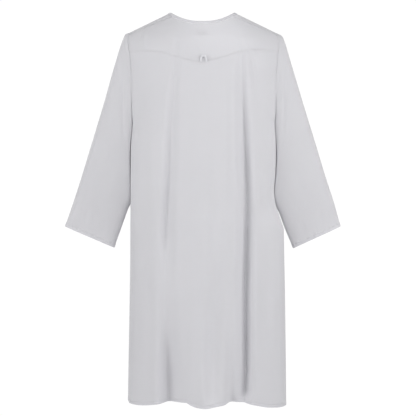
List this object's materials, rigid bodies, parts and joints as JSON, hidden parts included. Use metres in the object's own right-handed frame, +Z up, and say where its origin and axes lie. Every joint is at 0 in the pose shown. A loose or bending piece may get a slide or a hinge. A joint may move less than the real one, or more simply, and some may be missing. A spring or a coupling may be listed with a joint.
{
  "type": "thobe robe",
  "caption": "Long plain collarless robe with long wide sleeves, a bound round neck, a back yoke and a hanger loop, hollow and open as when worn.",
  "frame": {"origin": "middle of the neck opening, level with the neck ends of the shoulder line, where the wearer's shoulders hold the robe", "axes": "+Z up; +Y out of the front of the robe and -Y out of its back; +X to the wearer's right"},
  "size_m": [0.861, 0.2787, 1.2054],
  "materials": {
    "shirting": "smooth fine plain weave, pale cool grey-white, slightly sheer, soft matt sheen",
    "neck_binding": "the same cloth, folded and edge-stitched",
    "loop_tape": "the same cloth, folded into a narrow tape",
    "neck_label": "blank woven satin"
  },
  "bodies": {
    "root": {"back_yoke": "shirting", "back_panel": "shirting", "front_panel": "shirting", "sleeve_left": "shirting", "sleeve_right": "shirting", "neck_binding": "neck_binding", "hanger_loop": "loop_tape", "neck_label": "neck_label"}
  },
  "joints": []
}
